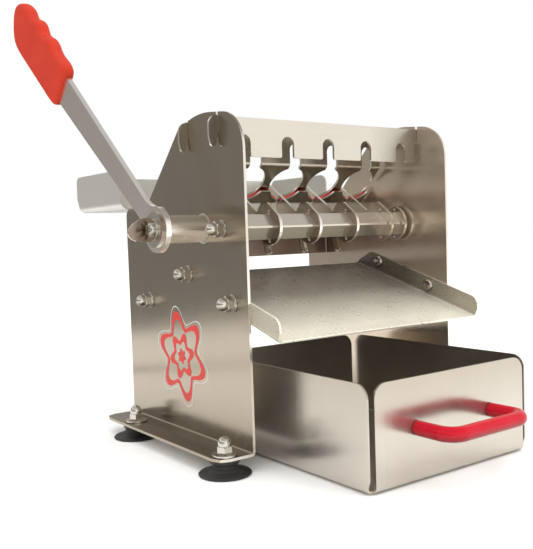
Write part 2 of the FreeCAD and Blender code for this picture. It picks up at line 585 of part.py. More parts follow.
for k, x in enumerate(LANES, 1):
    b = new_body("rotor_arm_%d" % k)
    t = D["rotor_t"]
    prism(b, "X", [rotor_outline_smooth()], -t / 2, t / 2, "Dims.rotor_t")
    square_hole(b, -t, t)
    put(b, "rotor_arm_%d" % k, "%g * Dims.lane_pitch" % (k - 3), z="Dims.axis_z")

for name, sg in (("end_disc_left", -1), ("end_disc_right", 1)):
    b = new_body(name)
    lo, hi = (94.4, 96.9) if sg > 0 else (-96.9, -94.4)
    prism(b, "X", [circle(0, 0, D["end_disc_rad"], "end_disc_rad")], lo, hi, "Dims.rotor_t")
    square_hole(b, lo - 1, hi + 1)
    put(b, name, z="Dims.axis_z")

# pitting pins: cross-shaped section bent to an arc about the shaft, forked
# at the tip and split at the top to grip the blade
pr, pw, web = D["pin_rad"], D["pin_w"] / 2, D["pin_web"] / 2
al = D["arm_low_deg"] - 0.02
tip = D["pin_tip_deg"]
across = ring_sector(-pw, pw, pr - web, pr + web, tip, al - 1.0)
radial = ring_sector(-web, web, pr - pw, pr + pw, tip, al - 1.0)
cheek_a = ring_sector(web + 0.02, pw, pr - pw + 0.8, pr + pw - 0.8, al - 4.0, al + 6.0)
cheek_b = ring_sector(-pw, -web - 0.02, pr - pw + 0.8, pr + pw - 0.8, al - 4.0, al + 6.0)
pin = across.fuse(radial).fuse(cheek_a).fuse(cheek_b)
ty, tz_ = polar(pr, tip)
td = Vector(0, math.sin(math.radians(tip)), -math.cos(math.radians(tip)))
back = Vector(0, ty, tz_) - td * 6.0
fork1 = Part.Face(Part.makePolygon([back, Vector(2.6, ty, tz_) + td * 2, Vector(-2.6, ty, tz_) + td * 2, back])).extrude(Vector(0, math.cos(math.radians(tip)), math.sin(math.radians(tip))) * 10)
fork1.translate(Vector(0, math.cos(math.radians(tip)), math.sin(math.radians(tip))) * -5)
rd = Vector(0, math.cos(math.radians(tip)), math.sin(math.radians(tip)))
fork2 = Part.Face(Part.makePolygon([back + Vector(-5, 0, 0), Vector(-5, ty, tz_) + td * 2 + rd * 2.6, Vector(-5, ty, tz_) + td * 2 - rd * 2.6, back + Vector(-5, 0, 0)])).extrude(Vector(10, 0, 0))
blade = Part.Face(Part.makePolygon([Vector(-web, y, z) for y, z in ((13.6, -5.0), (60.2, 21.2), (70.0, 26.7), (60.0, 60.0), (10.0, 20.0), (13.6, -5.0))])).extrude(Vector(2 * web, 0, 0))
pin = pin.cut(fork1).cut(fork2).cut(blade).removeSplitter()
pin = max(pin.Solids, key=lambda q: q.Volume)
for k, x in enumerate(LANES, 1):
    feature("pitting_pin_%d" % k, pin, "pitting_pin_%d" % k, "%g * Dims.lane_pitch" % (k - 3), z="Dims.axis_z")

# drive sleeve: square plug in the shaft, round journal out to the lever
plug = (D["tube_w"] - 2 * D["tube_wall"]) / math.sqrt(2) - 0.12
b = new_body("drive_sleeve")
prism(b, "X", [circle(0, 0, D["sleeve_rad"], "sleeve_rad")], -D["sleeve_end_x"], -D["tube_half_len"] - 0.02, "Dims.sleeve_end_x - Dims.tube_half_len - 0.02")
prism(b, "X", [square(plug, 0.9)], -D["tube_half_len"] - 0.52, -74.0)
prism(b, "X", [circle(0, 0, 4.02)], -D["sleeve_end_x"] - 1, -114.0, cut=True)
put(b, "drive_sleeve", z="Dims.axis_z")

b = new_body("idle_journal")
prism(b, "X", [circle(0, 0, D["journal_rad"], "journal_rad")], D["tube_half_len"] + 0.02, OUT + 0.3)
prism(b, "X", [square(plug, 0.9)], 74.0, D["tube_half_len"] + 0.52)
prism(b, "X", [circle(0, 0, 3.02)], 84.0, OUT + 2, cut=True)
put(b, "idle_journal", z="Dims.axis_z")


def bush(bore, body_r, flange_r):
    """Flanged bush along +Z: flange 0..1.5, body to 3.6."""
    return revolve([(bore + 0.3, 0), (flange_r - 0.3, 0), (flange_r, 0.3), (flange_r, 1.5), (body_r, 1.5), (body_r, 3.3), (bore + 0.3, 3.3), (bore, 3.0), (bore, 0.3)])


feature("bush_left", face_x(bush(D["sleeve_rad"] + 0.05, 11.28, 14.0), -HALF + 1.5, 0, 0, -1), "bush_left", z="Dims.axis_z")
feature("bush_right", face_x(bush(D["journal_rad"] + 0.05, 7.98, 11.0), HALF - 1.5, 0, 0, 1), "bush_right", z="Dims.axis_z")
feature("idle_washer", face_x(washer(9.5, 3.1, 1.5), OUT + 0.3, 0, 0, 1), "idle_washer", z="Dims.axis_z")
feature("idle_screw", face_x(pan_screw(length=15.0), OUT + 1.8, 0, 0, 1), "idle_screw", z="Dims.axis_z")

# ------------------------------------------------------------------ lever --
LX, LT = D["lever_x"], D["lever_t"]
bu = D["lever_bend_u"]
k_ = 0.036
lever_rot = Rotation(Vector(1, 0, 0), D["lever_deg"])


def v_rear(u):
    return -9.14 - k_ * u


def v_front(u):
    return 4.85 + k_ * u


b = new_body("lever_bar")
hubr = D["lever_hub_rad"]
prism(b, "X", [circle(0, 0, hubr, "lever_hub_rad")], -LT / 2, LT / 2, "Dims.lever_t")
prism(b, "X", [rounded([(0, v_rear(0)), (bu, v_rear(bu)), (bu, v_front(bu)), (0, v_front(0))])], -LT / 2, LT / 2, "Dims.lever_t")
prism(b, "Z", [circle(0, bu, LT / 2)], v_rear(bu), v_front(bu))
end_u = 236.0
off = Placement(Vector(bu, 0, 0), Rotation(Vector(0, 1, 0), D["lean_deg"]))
off = Placement(off.multVec(Vector(0, 0, -LT / 2)), off.Rotation)
prism(b, "X", [rounded([(0, v_rear(bu)), (end_u - bu, v_rear(170), 6.0), (end_u - bu, v_front(170), 6.0), (170 - bu, v_front(170)), (0, v_front(bu))])], 0, LT, "Dims.lever_t", offset=off)
# concave gusset where the bar's front edge runs into the hub
prism(b, "X", [rounded([(2.0, 2.0), (bu, 2.0), (bu, 7.2), (15.0, 8.9, 8.0), (11.8, 11.5)])], -LT / 2, LT / 2, "Dims.lever_t")
prism(b, "X", [rounded([(0, 2.0), (9.0, 2.0), (9.0, 5.6), (4.0, 6.0, 14.0), (0, 7.2)])], 0, LT, "Dims.lever_t", offset=off)
prism(b, "X", [circle(0, 0, 4.1)], -LT, LT, cut=True)
put(b, "lever_bar", "-Dims.lever_x", z="Dims.axis_z", rot=lever_rot)


# grip: slab with three finger waves in front, rounded all round, slotted
def grip_shape():
    pts = [(163.0, 15.0), (165.5, 18.6), (171.5, 20.6), (180.0, 20.4), (187.0, 20.9), (193.5, 23.2), (200.0, 23.6), (206.0, 21.6),
           (211.5, 21.1), (217.5, 24.2), (223.5, 24.6), (229.0, 22.0), (234.5, 21.2), (240.0, 23.2), (246.5, 23.2), (253.5, 20.8),
           (258.2, 15.2), (258.8, 8.0), (256.2, -1.0), (251.6, -9.6), (245.4, -15.4), (237.0, -18.0), (225.0, -18.6), (200.0, -19.0),
           (180.0, -19.3), (168.5, -19.2), (163.8, -17.6), (162.6, -12.0), (162.6, 8.0)]
    pts = [(u, 0.93 * v - 0.9) for u, v in pts]
    base = Part.BSplineCurve()
    base.interpolate([Vector(0, u - bu, v) for u, v in pts], PeriodicFlag=True)
    half, n = 5.9, 64
    lo_p, hi_p = base.FirstParameter, base.LastParameter
    ring = []
    for i in range(n):
        q = lo_p + (hi_p - lo_p) * i / n
        at0, tan = base.value(q), base.tangent(q)[0]
        ring.append((at0, Vector(0, -tan.z, tan.y).normalize()))
    area = sum(ring[i - 1][0].y * ring[i][0].z - ring[i][0].y * ring[i - 1][0].z for i in range(n))
    inward = 1.0 if area > 0 else -1.0
    wires = []
    for x, inset in ((-half, 3.4), (-5.1, 1.5), (-3.4, 0.4), (0, 0.0), (3.4, 0.4), (5.1, 1.5), (half, 3.4)):
        c = Part.BSplineCurve()
        c.interpolate([a + nn * (inward * inset) + Vector(x, 0, 0) for a, nn in ring], PeriodicFlag=True)
        wires.append(Part.Wire([c.toShape()]))
    solid = Part.makeLoft(wires, True, False)
    if solid.Volume < 0:
        solid = solid.reversed()
    c = 0.05
    w = v_front(170) + c
    slot = Part.makeBox(LT + 2 * c, end_u - bu + c, w - (v_rear(170) - c), Vector(-LT / 2 - c, 0, v_rear(170) - c))
    return solid.cut(slot)


g = grip_shape()
g.rotate(Vector(0, 0, 0), Vector(0, 0, 1), D["lean_deg"])
g.translate(Vector(0, bu, 0))
feature("lever_grip", g, "lever_grip", "-Dims.lever_x", z="Dims.axis_z", rot=lever_rot)

# hub clip: ring under the screw head with an ear bent outwards behind it
x0 = -LX - LT / 2
ring = Part.makeCylinder(12.6, 1.5, Vector(x0 - 1.5, 0, 0), Vector(1, 0, 0)).cut(Part.makeCylinder(4.1, 3, Vector(x0 - 2, 0, 0), Vector(1, 0, 0)))
ear = Part.Face(Part.makePolygon([Vector(x0 + q[0], 8.2, q[1]) for q in (
    (0.0, -8.6), (-6.0, -8.3), (-11.0, -7.7), (-14.2, -6.5), (-16.4, -4.6), (-17.3, -2.4), (-17.0, -0.2), (-15.4, 2.4), (-12.6, 4.9),
    (-9.0, 7.0), (-5.0, 8.4), (0.0, 9.2), (0.0, -8.6))])).extrude(Vector(0, 1.5, 0))
clip = ring.fuse(ear).removeSplitter()
feature("hub_clip", clip, "hub_clip", z="Dims.axis_z")
feature("hub_washer", face_x(washer(7.6, 4.1, 1.2), x0 - 1.5, 0, 0, -1), "hub_washer", z="Dims.axis_z")
feature("hub_screw", face_x(pan_screw(4.9, 3.4, 4.0, 24.0, 2.2), x0 - 2.7, 0, 0, -1), "hub_screw", z="Dims.axis_z")

# ----------------------------------------------------------------- drawer --
b = new_body("drawer_box")
w, y0, y1, z0, z1 = D["drawer_half_w"], D["drawer_front_y"], D["drawer_rear_y"], D["drawer_low_z"], D["drawer_top_z"]
br = 3.2
prism(b, "Z", [rounded([(-w + br, y0 + br), (w - br, y0 + br), (w - br, y1 - br), (-w + br, y1 - br)])], z0, z0 + TT, "Dims.thin_t")
for sg in (-1, 1):
    sec = [(sg * (w - br - 0.5), z0 + TT / 2), (sg * (w - TT / 2), z0 + TT / 2, br - TT / 2), (sg * (w - TT / 2), z0 + br + 1)]
    prism(b, "Y", [strip(sec, TT)], y0 + br, y1 - br)
    wl = rounded([(y0 + br, z0 + br), (y1 - br, z0 + br), (y1 - 1.4, z0 + br + 5, 3), (y1 - 1.4, z1, 10.0), (y0 + 1.4, z1, 10.0), (y0 + 1.4, z0 + br + 5, 3)])
    lo, hi = (w - TT, w) if sg > 0 else (-w, -w + TT)
    prism(b, "X", [wl], lo, hi, "Dims.thin_t")
for ye, sg in ((y0, -1), (y1, 1)):
    ya = ye - sg * TT / 2
    sec = [(ye - sg * (br + 0.5), z0 + TT / 2), (ya, z0 + TT / 2, br - TT / 2), (ya, z0 + br + 1)]
    prism(b, "X", [strip(sec, TT)], -w + 5.1, w - 5.1)
    wl = rounded([(-w + 5.1, z0 + br), (w - 5.1, z0 + br), (w - 5.1, z1, 10.0), (-w + 5.1, z1, 10.0)])
    lo, hi = (ye, ye + TT) if sg < 0 else (ye - TT, ye)
    prism(b, "Y", [wl], lo, hi, "Dims.thin_t")
prism(b, "Y", [circle(s * D["handle_half"], D["handle_z"], 2.2) for s in (-1, 1)], y0 - 1, y0 + TT + 1, cut=True)
put(b, "drawer_box")

# bow handle: round bar with two bends, collars against the drawer front
hr_, hh, ho = D["handle_rad"], D["handle_half"], D["handle_out"]
rb = 10.5
yb = y0 - ho
e1 = Part.makeLine(Vector(-hh, y0 - 0.02, 0), Vector(-hh, yb + rb, 0))
m = rb * (1 - math.cos(math.radians(45)))
e2 = Part.Arc(Vector(-hh, yb + rb, 0), Vector(-hh + m, yb + m, 0), Vector(-hh + rb, yb, 0)).toShape()
e3 = Part.makeLine(Vector(-hh + rb, yb, 0), Vector(hh - rb, yb, 0))
e4 = Part.Arc(Vector(hh - rb, yb, 0), Vector(hh - m, yb + m, 0), Vector(hh, yb + rb, 0)).toShape()
e5 = Part.makeLine(Vector(hh, yb + rb, 0), Vector(hh, y0 - 0.02, 0))
path = Part.Wire([e1, e2, e3, e4, e5])
prof = Part.Wire([Part.makeCircle(hr_, Vector(-hh, y0 - 0.02, 0), Vector(0, -1, 0))])
bar = path.makePipeShell([prof], True, True)
for s in (-1, 1):
    bar = bar.cut(Part.makeCylinder(8.0, 0.9, Vector(s * hh, y0 - 0.02, 0), Vector(0, -1, 0)))
    bar = bar.fuse(Part.makeCone(4.2, 5.0, 0.92, Vector(s * hh, y0 - 0.02, 0), Vector(0, -1, 0)))
for s in (-1, 1):
    bar = bar.cut(Part.makeCylinder(2.02, 12, Vector(s * hh, y0 + 1, 0), Vector(0, -1, 0)))
feature("drawer_handle", bar.removeSplitter(), "drawer_handle", z="Dims.handle_z")
hs = pan_screw(4.0, 2.8, 2.0, 11.0, 1.5)
hs.rotate(Vector(0, 0, 0), Vector(1, 0, 0), -90)
group("handle_screws", [at(hs, s * hh, y0 + TT, D["handle_z"]) for s in (-1, 1)])

# ------------------------------------------------------ checks and export --
doc.recompute()
bad = [o.Name for o in doc.Objects if "Invalid" in o.State or "Error" in o.State]
if bad:
    raise RuntimeError("failed objects: %s" % bad)
names = [o.Label for o in PARTS]
assert len(set(names)) == len(names)
box = FreeCAD.BoundBox()
for o in PARTS:
    s = o.Shape
    if s.isNull() or not s.isValid() or not s.Solids:
        raise RuntimeError("bad shape: " + o.Label)
    box.add(s.BoundBox)
for old in os.listdir("parts"):
    if old.endswith(".step"):
        os.remove(os.path.join("parts", old))
for o in PARTS:
    o.Shape.exportStep("parts/%s.step" % o.Label)
print("parts", len(PARTS), "solids", sum(len(o.Shape.Solids) for o in PARTS))
print("box", [round(v, 3) for v in (box.XMin, box.XMax, box.YMin, box.YMax, box.ZMin, box.ZMax)])
print("centre error", round((box.XMin + box.XMax) / 2, 3), round((box.YMin + box.YMax) / 2, 3))
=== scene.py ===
import bpy
import bmesh
import json
import math
from mathutils import Matrix, Vector


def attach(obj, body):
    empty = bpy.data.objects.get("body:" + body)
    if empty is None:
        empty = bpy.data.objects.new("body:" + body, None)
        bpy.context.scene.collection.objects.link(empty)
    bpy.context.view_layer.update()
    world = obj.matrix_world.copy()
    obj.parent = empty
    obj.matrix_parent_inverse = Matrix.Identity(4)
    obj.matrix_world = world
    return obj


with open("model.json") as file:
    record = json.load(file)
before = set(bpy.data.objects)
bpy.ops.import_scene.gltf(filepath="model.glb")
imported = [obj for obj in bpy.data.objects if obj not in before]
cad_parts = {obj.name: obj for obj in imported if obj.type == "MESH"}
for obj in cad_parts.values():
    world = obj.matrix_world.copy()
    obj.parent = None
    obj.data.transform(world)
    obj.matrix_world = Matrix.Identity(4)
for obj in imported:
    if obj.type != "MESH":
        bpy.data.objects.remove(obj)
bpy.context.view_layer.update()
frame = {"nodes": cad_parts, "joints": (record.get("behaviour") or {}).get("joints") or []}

# The CAD row frame's shift against the design frame used for the camera and
# for the surface details: design (0, 0, 0) is under the shaft's middle.
TURN = [j for j in frame["joints"] if j["name"] == "lever_turn"][0]
SHIFT = Vector((TURN["pos_m"][0], TURN["pos_m"][1], 0.0))


def mm(x, y, z):
    return Vector((x, y, z)) / 1000.0 + SHIFT


# ------------------------------------------------------------ node helpers --
def new_mat(name):
    m = bpy.data.materials.new(name)
    m.use_nodes = True
    nt = m.node_tree
    nt.nodes.clear()
    out = nt.nodes.new("ShaderNodeOutputMaterial")
    bsdf = nt.nodes.new("ShaderNodeBsdfPrincipled")
    nt.links.new(bsdf.outputs[0], out.inputs[0])
    return m, nt, bsdf


def noise(nt, coord, scale, detail=3.0, rough=0.5, stretch=(1, 1, 1), offset=(0, 0, 0), distort=0.0):
    mp = nt.nodes.new("ShaderNodeMapping")
    mp.inputs["Scale"].default_value = stretch
    mp.inputs["Location"].default_value = offset
    nt.links.new(coord, mp.inputs["Vector"])
    n = nt.nodes.new("ShaderNodeTexNoise")
    n.inputs["Scale"].default_value = scale
    n.inputs["Detail"].default_value = detail
    n.inputs["Roughness"].default_value = rough
    n.inputs["Distortion"].default_value = distort
    nt.links.new(mp.outputs[0], n.inputs["Vector"])
    return n.outputs["Fac"]


def ramp(nt, fac, stops):
    r = nt.nodes.new("ShaderNodeValToRGB")
    while len(r.color_ramp.elements) < len(stops):
        r.color_ramp.elements.new(0.5)
    for e, (p, c) in zip(r.color_ramp.elements, stops):
        e.position = p
        e.color = (*c, 1) if len(c) == 3 else c
    nt.links.new(fac, r.inputs[0])
    return r.outputs["Color"]


def remap(nt, fac, lo, hi, a=0.0, b=1.0):
    m = nt.nodes.new("ShaderNodeMapRange")
    m.inputs["From Min"].default_value = a
    m.inputs["From Max"].default_value = b
    m.inputs["To Min"].default_value = lo
    m.inputs["To Max"].default_value = hi
    nt.links.new(fac, m.inputs["Value"])
    return m.outputs["Result"]


def mix_rgb(nt, a, b, fac, mode="MIX"):
    m = nt.nodes.new("ShaderNodeMix")
    m.data_type = "RGBA"
    m.blend_type = mode
    for sock, v in ((m.inputs[6], a), (m.inputs[7], b), (m.inputs[0], fac)):
        if isinstance(v, (int, float)):
            sock.default_value = v
        elif isinstance(v, tuple):
            sock.default_value = (*v, 1)
        else:
            nt.links.new(v, sock)
    return m.outputs[2]


def maths(nt, op, a, b=None):
    m = nt.nodes.new("ShaderNodeMath")
    m.operation = op
    for sock, v in ((m.inputs[0], a), (m.inputs[1], b)):
        if v is None:
            continue
        if isinstance(v, (int, float)):
            sock.default_value = v
        else:
            nt.links.new(v, sock)
    return m.outputs[0]


def bump(nt, bsdf, height, strength, distance, prev=None):
    b = nt.nodes.new("ShaderNodeBump")
    b.inputs["Strength"].default_value = strength
    b.inputs["Distance"].default_value = distance
    nt.links.new(height, b.inputs["Height"])
    if prev is not None:
        nt.links.new(prev, b.inputs["Normal"])
    nt.links.new(b.outputs[0], bsdf.inputs["Normal"])
    return b.outputs[0]


def coords(nt, kind="Object"):
    return nt.nodes.new("ShaderNodeTexCoord").outputs[kind]


def steel(name, tint, rough, grain, aniso=0.55, var=0.04, axis="Z", seed=0.0, dirt=0.05, metal=1.0, face=None, rim=(0.84, 0.80, 0.72), shade_zones=(), wall_shade=None, relief=0.010, count=1500):
    """Brushed sheet: fine grain along one direction, cloudy polish, handling marks.

    grain is the direction of the brush lines: "x", "y" or "z". face names the
    normals of the sheet's broad faces; the cut edges beside them take the rim
    tint, a painted highlight. zones are (axis, from, to, factor): bands of
    painted shade along the sheet."""
    m, nt, b = new_mat(name)
    co = coords(nt)
    fine = {"x": (14, count, count), "y": (count, 14, count), "z": (count, count, 14), "all": (count, count, count)}[grain]
    mid = {"x": (3, 320, 320), "y": (320, 3, 320), "z": (320, 320, 3), "all": (60, 60, 60)}[grain]
    g1 = noise(nt, co, 1.0, 2.0, 0.6, fine, (seed, seed, seed))
    g2 = noise(nt, co, 1.0, 3.0, 0.55, mid, (seed + 3, seed, seed))
    cloud = noise(nt, co, 18.0, 3.0, 0.5, (1, 1, 1), (seed, 4, 2))
    smear = noise(nt, co, 55.0, 4.0, 0.6, (1, 1, 1), (9, seed, 2), 0.6)
    lines = mix_rgb(nt, g1, g2, 0.30)
    tone = ramp(nt, lines, [(0.25, tuple(c * (1 - var) for c in tint)), (0.75, tuple(min(1, c * (1 + var)) for c in tint))])
    dark = tuple(c * 0.82 for c in tint)
    tone = mix_rgb(nt, tone, (dark[0], dark[1] * 0.985, dark[2] * 0.96), remap(nt, cloud, 0.0, dirt * 2.4, 0.42, 0.75))
    # painted shade: each zone multiplies the tone by its factor over a span along one axis
    for ax, lo, hi, k in shade_zones:
        sp = nt.nodes.new("ShaderNodeSeparateXYZ")
        nt.links.new(co, sp.inputs[0])
        tone = mix_rgb(nt, tone, (k, k * 0.97, k * 0.93), remap(nt, sp.outputs[ax], 0.0, 1.0, lo, hi), "MULTIPLY")
    # painted shade: faces whose normal lies along the given axis are multiplied by the given darker tint, as on the
    # chute's side walls
    if wall_shade:
        sw = nt.nodes.new("ShaderNodeSeparateXYZ")
        nt.links.new(coords(nt, "Normal"), sw.inputs[0])
        tone = mix_rgb(nt, tone, wall_shade[1], remap(nt, maths(nt, "ABSOLUTE", sw.outputs[wall_shade[0]]), 0.0, 1.0, 0.45, 0.85), "MULTIPLY")
    # painted highlight: the cut edges, whose normals lie off the face axes, are mixed towards the lighter rim tint
    if face:
        sn = nt.nodes.new("ShaderNodeSeparateXYZ")
        nt.links.new(coords(nt, "Normal"), sn.inputs[0])
        along = None
        for ax in face:
            q = maths(nt, "ABSOLUTE", sn.outputs[ax])
            along = q if along is None else maths(nt, "MAXIMUM", along, q)
        tone = mix_rgb(nt, tone, rim, remap(nt, along, 1.0, 0.0, 0.25, 0.60))
    nt.links.new(tone, b.inputs["Base Color"])
    r = maths(nt, "ADD", remap(nt, lines, rough - 0.012, rough + 0.02, 0.3, 0.7), remap(nt, smear, -0.015, 0.025, 0.35, 0.7))
    nt.links.new(r, b.inputs["Roughness"])
    b.inputs["Metallic"].default_value = metal
    b.inputs["Anisotropic"].default_value = aniso
    tg = nt.nodes.new("ShaderNodeTangent")
    tg.direction_type = "RADIAL"
    tg.axis = axis
    nt.links.new(tg.outputs[0], b.inputs["Tangent"])
    if relief:
        bump(nt, b, g2, relief, 0.00004)
    return m


def bright(name, tint, rough, seed=0.0):
    """Turned or pressed stainless fastener: fine rings of wear, soft smears."""
    m, nt, b = new_mat(name)
    co = coords(nt)
    n1 = noise(nt, co, 420.0, 3.0, 0.5, (1, 1, 1), (seed, 1, 0))
    n2 = noise(nt, co, 90.0, 3.0, 0.6, (1, 1, 1), (2, seed, 0))
    tone = ramp(nt, n2, [(0.3, tuple(c * 0.82 for c in tint)), (0.7, tint)])
    # painted shade: faces turned downwards, low on the flanks, are darkened
    sn = nt.nodes.new("ShaderNodeSeparateXYZ")
    nt.links.new(coords(nt, "Normal"), sn.inputs[0])
    tone = mix_rgb(nt, tone, (0.26, 0.235, 0.20), remap(nt, sn.outputs["Z"], 1.0, 0.0, -0.55, 0.25), "MULTIPLY")
    nt.links.new(tone, b.inputs["Base Color"])
    nt.links.new(maths(nt, "ADD", remap(nt, n1, rough - 0.03, rough + 0.06, 0.3, 0.7), remap(nt, n2, -0.02, 0.06, 0.3, 0.7)), b.inputs["Roughness"])
    b.inputs["Metallic"].default_value = 1.0
    bump(nt, b, n1, 0.04, 0.00005)
    return m


def plastic(name, base, dark, rough, coat=0.0, grain=260.0, bump_s=0.08, spec=0.5, underside_shade=1.0):
    m, nt, b = new_mat(name)
    co = coords(nt)
    n1 = noise(nt, co, grain, 3.0, 0.5)
    n2 = noise(nt, co, 35.0, 4.0, 0.6, (1, 1, 1), (4, 1, 7), 0.4)
    n3 = noise(nt, co, grain * 6, 2.0, 0.5, (1, 1, 1), (1, 2, 3))
    tone = ramp(nt, n2, [(0.3, dark), (0.68, base)])
    # painted shade: faces turned downwards are darkened by this factor, as on the handle's underside
    if underside_shade < 1.0:
        sn = nt.nodes.new("ShaderNodeSeparateXYZ")
        nt.links.new(coords(nt, "Normal"), sn.inputs[0])
        tone = mix_rgb(nt, tone, (underside_shade, underside_shade * 0.5, underside_shade * 0.8), remap(nt, sn.outputs["Z"], 1.0, 0.0, -0.75, 0.25), "MULTIPLY")
    nt.links.new(tone, b.inputs["Base Color"])
    nt.links.new(maths(nt, "ADD", remap(nt, n1, rough - 0.03, rough + 0.05, 0.3, 0.7), remap(nt, n2, -0.03, 0.06, 0.35, 0.65)), b.inputs["Roughness"])
    b.inputs["Specular IOR Level"].default_value = spec
    b.inputs["Coat Weight"].default_value = coat
    b.inputs["Coat Roughness"].default_value = 0.12
    p = bump(nt, b, n3, bump_s, 0.0001)
    bump(nt, b, n1, bump_s * 0.8, 0.0003, p)
    return m


# painted shade on the comb over its own x range: darker where its hooks stand
# beside the dark plates and where its right end runs into the right plate's shade
CX = [v.co.x for v in frame["nodes"]["front_comb"].data.vertices]
CMID = (min(CX) + max(CX)) / 2
COMB_SHADE = [("X", CMID - 0.1016, CMID - 0.1026, 0.40), ("X", CMID + 0.045, CMID + 0.102, 0.52)]


def span(node, axis):
    v = [q.co[axis] for q in frame["nodes"][node].data.vertices]
    return min(v), max(v)


# the chute is shaded under the shaft, the drawer's rim under the chute; the
# arms' hubs stand in the shade that the blades reach out of
c0, c1 = span("discharge_chute", 1)
CHUTE_SHADE = [("Y", c0 + 0.014, c0 + 0.078, 0.36)]
d0, d1 = span("drawer_box", 2)
DRAWER_SHADE = [("Z", d0 + 0.036, d1, 0.80)]
a0, a1 = span("rotor_arm_3", 1)
ARM_SHADE = [("Y", a1 - 0.026, a1 - 0.050, 0.52)]

MAT = {
    # painted shade: the left plate is the same steel as the right one, given a much darker tint
    "plate_left": steel("steel_plate_left", (0.425, 0.370, 0.300), 0.21, "z", 0.72, 0.055, "Z", face=("X", "Z")),
    "plate_right": steel("steel_plate_right", (0.72, 0.62, 0.505), 0.21, "z", 0.72, 0.055, "Z", 1.0, metal=0.90, face=("X", "Z"), rim=(0.86, 0.81, 0.73)),
    "comb": steel("steel_comb", (0.76, 0.725, 0.645), 0.25, "x", 0.55, 0.025, "Z", 1.3, face=("Y",), shade_zones=COMB_SHADE, relief=0.0, count=900),
    "lane": steel("steel_lane_plate", (0.42, 0.375, 0.315), 0.24, "z", 0.5, 0.03, "Z", 2.9, face=("Y", "Z"), relief=0.0, count=700),
    "tray": steel("steel_tray", (0.64, 0.63, 0.58), 0.30, "x", 0.45, 0.03, "Z", 2.1, metal=0.66, relief=0.0),
    "chute": steel("steel_chute", (0.99, 0.95, 0.83), 0.28, "y", 0.5, 0.03, "Y", 3.7, 0.16, metal=0.50, shade_zones=CHUTE_SHADE, wall_shade=("X", (0.48, 0.45, 0.41)), relief=0.0, count=500),
    "drawer": steel("steel_drawer", (0.575, 0.53, 0.47), 0.23, "z", 0.62, 0.05, "Z", 4.9, 0.14, metal=0.92, shade_zones=DRAWER_SHADE),
    "guard": steel("steel_guard", (0.28, 0.22, 0.19), 0.22, "z", 0.6, 0.10, "Z", 6.1),
    "rotor": steel("steel_rotor", (0.86, 0.765, 0.695), 0.20, "z", 0.35, 0.04, "X", 5.3, face=("X",), shade_zones=ARM_SHADE, relief=0.0),
    # arm 5 and the right end disc: a lit copy of the rotor steel, with its own tint and without the painted hub shade
    "rotor_light": steel("steel_rotor_light", (0.80, 0.745, 0.655), 0.22, "z", 0.35, 0.04, "X", 5.3, face=("X",), relief=0.0),
    "lever": steel("steel_lever", (0.82, 0.765, 0.69), 0.24, "all", 0.0, 0.012, "X", 7.7, 0.02, face=("X",), rim=(0.98, 0.96, 0.92), relief=0.0, count=160),
    "clip": steel("steel_hub_clip", (0.66, 0.61, 0.545), 0.16, "all", 0.0, 0.02, "X", 7.1, wall_shade=("Y", (0.52, 0.46, 0.42)), relief=0.0, count=160),
    "tube": steel("steel_tube", (0.70, 0.645, 0.56), 0.24, "x", 0.45, 0.03, "X", 8.8, metal=0.88, relief=0.0),
    "bolt": bright("bright_fastener", (0.86, 0.83, 0.77), 0.06),
    "pin": bright("bright_pin", (0.60, 0.55, 0.49), 0.10, 3.0),
    "red_rubber": plastic("red_seat_rubber", (0.50, 0.040, 0.028), (0.38, 0.028, 0.020), 0.46, 0.0, 300.0, 0.10, 0.25),
    "grip": plastic("red_moulded_grip", (0.51, 0.036, 0.016), (0.455, 0.031, 0.013), 0.46, 0.0, 420.0, 0.14, 0.13),
    "handle": plastic("red_gloss_handle", (0.50, 0.006, 0.020), (0.44, 0.004, 0.015), 0.09, 0.0, 120.0, 0.02, 0.30, 0.42),
    "bush": plastic("bush_plastic", (0.46, 0.43, 0.38), (0.40, 0.37, 0.33), 0.45),
    "print": plastic("decal_red", (0.60, 0.035, 0.025), (0.54, 0.030, 0.020), 0.30, 0.0, 300.0, 0.02, 0.30),
    "film": plastic("decal_film", (0.66, 0.64, 0.60), (0.60, 0.58, 0.54), 0.30, 0.0, 300.0, 0.02, 0.30),
    "black": plastic("black_cup_rubber", (0.018, 0.018, 0.018), (0.030, 0.029, 0.028), 0.42, 0.0, 180.0, 0.12, 0.45),
}


def dress(node):
    if node.startswith("side_plate"):
        return node.replace("side_", "")
    if node == "front_comb":
        return "comb"
    if node in ("lane_plate", "seat_lip_clamp"):
        return "lane"
    if node == "hopper_tray":
        return "tray"
    if node == "discharge_chute":
        return "chute"
    if node == "drawer_box":
        return "drawer"
    if node == "pit_guard":
        return "guard"
    if node in ("rotor_arm_5", "end_disc_right"):
        return "rotor_light"
    if node.startswith("rotor_arm") or node.startswith("end_disc"):
        return "rotor"
    if node == "lever_bar":
        return "lever"
    if node == "hub_clip":
        return "clip"
    if node in ("rotor_shaft", "drive_sleeve", "brace_tube", "idle_journal"):
        return "tube"
    if node.startswith("pitting_pin"):
        return "pin"
    if node.startswith("cherry_seat") or node == "seat_lip_rubber":
        return "red_rubber"
    if node == "lever_grip":
        return "grip"
    if node == "drawer_handle":
        return "handle"
    if node.startswith("bush"):
        return "bush"
    if node.startswith("suction_cup"):
        return "black"
    return "bolt"


for name, ob in frame["nodes"].items():
    ob.data.materials.clear()
    ob.data.materials.append(MAT[dress(name)])


# --------------------------------------------------------------- mesh help --
def mesh_object(name, bm, mat, smooth=False):
    me = bpy.data.meshes.new(name)
    bm.normal_update()
    bm.to_mesh(me)
    bm.free()
    ob = bpy.data.objects.new(name, me)
    bpy.context.scene.collection.objects.link(ob)
    me.materials.append(mat)
    if smooth:
        for p in me.polygons:
            p.use_smooth = True
    return ob


